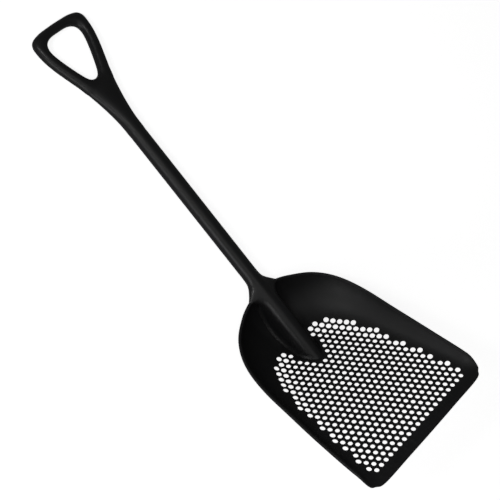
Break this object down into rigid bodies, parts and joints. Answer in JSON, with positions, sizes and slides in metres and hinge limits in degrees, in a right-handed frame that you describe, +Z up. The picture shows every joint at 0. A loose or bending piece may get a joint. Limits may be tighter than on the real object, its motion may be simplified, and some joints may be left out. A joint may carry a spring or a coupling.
{
  "type": "sifting sand scoop",
  "caption": "Long-handled sifting scoop of moulded plastic: perforated flat floor in a curved, deep-sided blade, round shaft and D-shaped grip.",
  "frame": {"origin": "centre of the bounding box's base, on the ground the scoop lies on", "axes": "+X across the blade; +Y from the blade's front edge to the grip; +Z up, with the scoop lying on its back, heel and grip on the ground"},
  "size_m": [0.3538, 1.0484, 0.2581],
  "materials": {
    "moulded_polypropylene": "black injection-moulded polypropylene, satin, finely textured"
  },
  "bodies": {
    "root": {"sieve_floor": "moulded_polypropylene", "front_lip": "moulded_polypropylene", "left_wall": "moulded_polypropylene", "right_wall": "moulded_polypropylene", "left_shoulder": "moulded_polypropylene", "right_shoulder": "moulded_polypropylene", "left_wall_bead": "moulded_polypropylene", "right_wall_bead": "moulded_polypropylene", "left_shoulder_bead": "moulded_polypropylene", "right_shoulder_bead": "moulded_polypropylene", "ridge": "moulded_polypropylene", "neck": "moulded_polypropylene", "shaft": "moulded_polypropylene", "yoke": "moulded_polypropylene", "left_arm": "moulded_polypropylene", "right_arm": "moulded_polypropylene", "crossbar": "moulded_polypropylene"}
  },
  "joints": []
}
